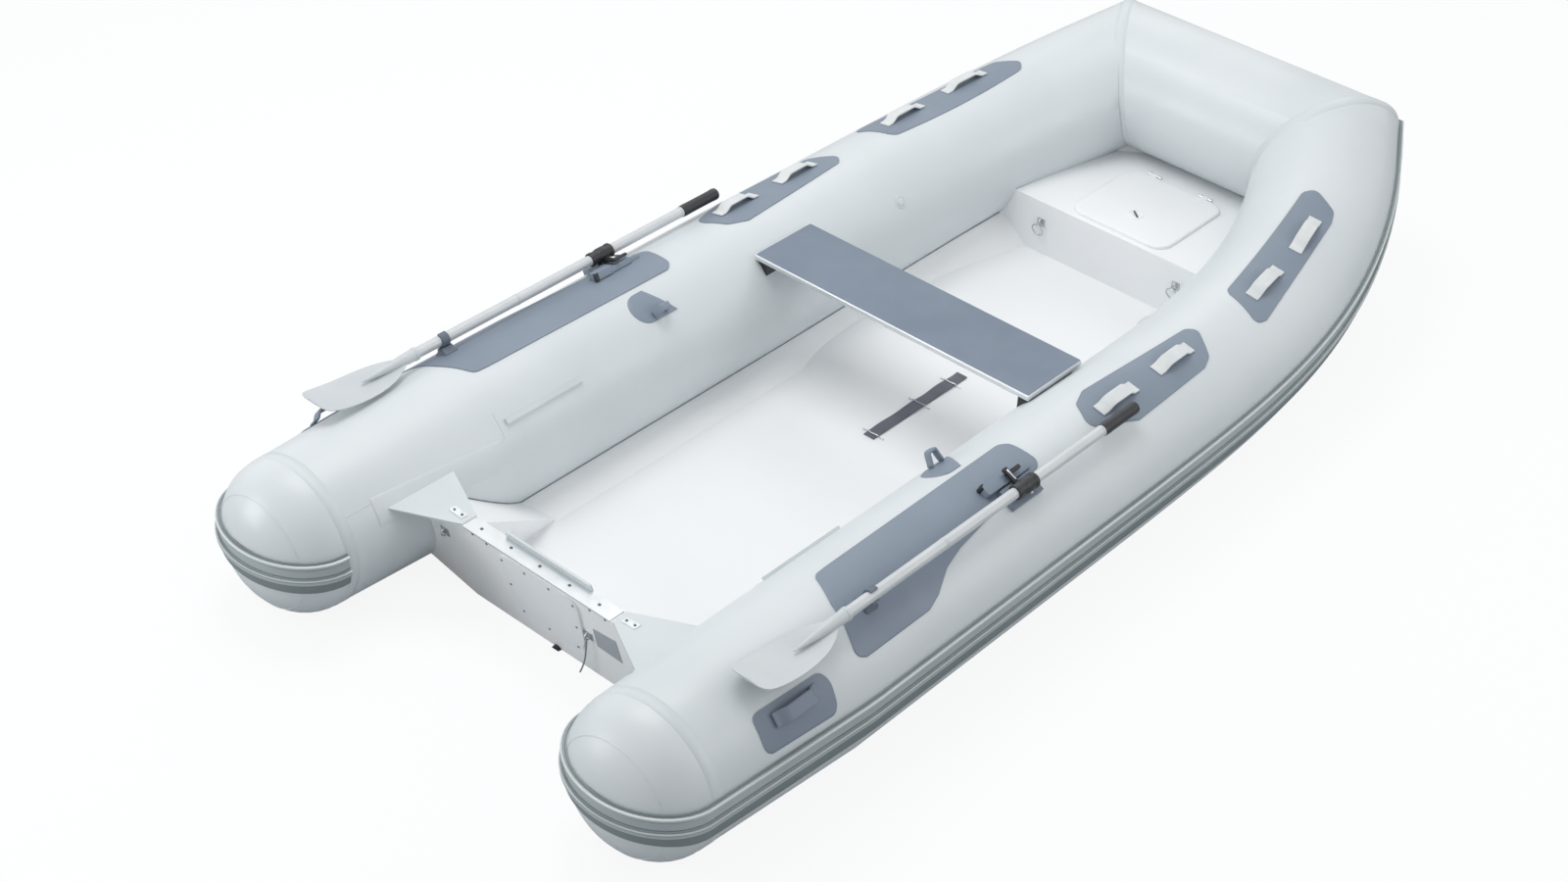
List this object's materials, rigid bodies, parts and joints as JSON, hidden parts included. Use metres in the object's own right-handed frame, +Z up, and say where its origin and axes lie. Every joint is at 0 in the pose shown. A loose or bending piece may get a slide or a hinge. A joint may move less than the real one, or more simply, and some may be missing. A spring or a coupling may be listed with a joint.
{
  "type": "rigid-hull inflatable boat",
  "caption": "Rigid-hull inflatable tender with white V hull, pale grey tubes, bench seat, bow locker with hinged lid, raked transom and oars swinging in collars on the tubes.",
  "frame": {"origin": "on the centreline at the waterline, under the top aft edge of the transom", "axes": "+X forward to the bow, +Y to port, +Z up"},
  "size_m": [3.4421, 1.646, 0.6845],
  "materials": {
    "tube_fabric": "satin",
    "strake_rubber": "satin",
    "band_rubber": "satin",
    "patch_rubber": "satin",
    "gelcoat": "gloss",
    "stainless": "satin",
    "black_plastic": "matte",
    "grey_plastic": "matte",
    "pad_plastic": "satin",
    "white_plastic": "satin",
    "seat_aluminium": "satin",
    "oar_aluminium": "satin",
    "strap_webbing": "woven",
    "strap_webbing_dark": "woven",
    "cord": "braided"
  },
  "bodies": {
    "hull": {"deck_liner": "gelcoat", "drain_hood": "black_plastic", "drain_lanyard": "cord", "drain_plug": "grey_plastic", "grab_handle_feet": "strap_webbing", "grab_handle_straps": "strap_webbing", "grab_patches": "patch_rubber", "gusset_plates": "stainless", "hull_bottom": "gelcoat", "lid_hinges": "stainless", "lift_loop_bars": "patch_rubber", "lift_loop_feet": "patch_rubber", "motor_pad_inner": "pad_plastic", "motor_pad_outer": "pad_plastic", "oar_clips": "grey_plastic", "oar_pads": "patch_rubber", "oarlock_bases": "patch_rubber", "ring_eyes": "stainless", "rub_band": "band_rubber", "rub_strake": "strake_rubber", "seat_blocks": "black_plastic", "seat_board": "seat_aluminium", "seat_strips": "patch_rubber", "stern_cones": "tube_fabric", "stern_handle_bars": "patch_rubber", "stern_handle_feet": "patch_rubber", "stern_patches": "patch_rubber", "strap_loops": "stainless", "tank_strap": "strap_webbing_dark", "transom_board": "gelcoat", "transom_cap": "stainless", "transom_gussets": "gelcoat", "tube_bow": "tube_fabric", "tube_port": "tube_fabric", "tube_starboard": "tube_fabric"},
    "lid": {"locker_lid": "gelcoat", "lid_latch": "stainless"},
    "oar_port": {"oarlock_collar_port": "black_plastic", "oar_shaft_port": "oar_aluminium", "oar_grip_port": "black_plastic", "oar_blade_port": "white_plastic"},
    "oar_starboard": {"oarlock_collar_starboard": "black_plastic", "oar_shaft_starboard": "oar_aluminium", "oar_grip_starboard": "black_plastic", "oar_blade_starboard": "white_plastic"}
  },
  "joints": [
    {"name": "oar_port_swing", "type": "hinge", "parent": "hull", "child": "oar_port", "pos_m": [0.92, 0.70591, 0.41739], "axis": [0, -0.4384, -0.8988], "range_deg": [0, 115]},
    {"name": "oar_starboard_swing", "type": "hinge", "parent": "hull", "child": "oar_starboard", "pos_m": [0.92, -0.70591, 0.41739], "axis": [0, -0.4384, 0.8988], "range_deg": [0, 115]},
    {"name": "locker_lid_hinge", "type": "hinge", "parent": "hull", "child": "lid", "pos_m": [2.635, 0, 0.2053], "axis": [0, 1, 0], "range_deg": [0, 75]}
  ]
}
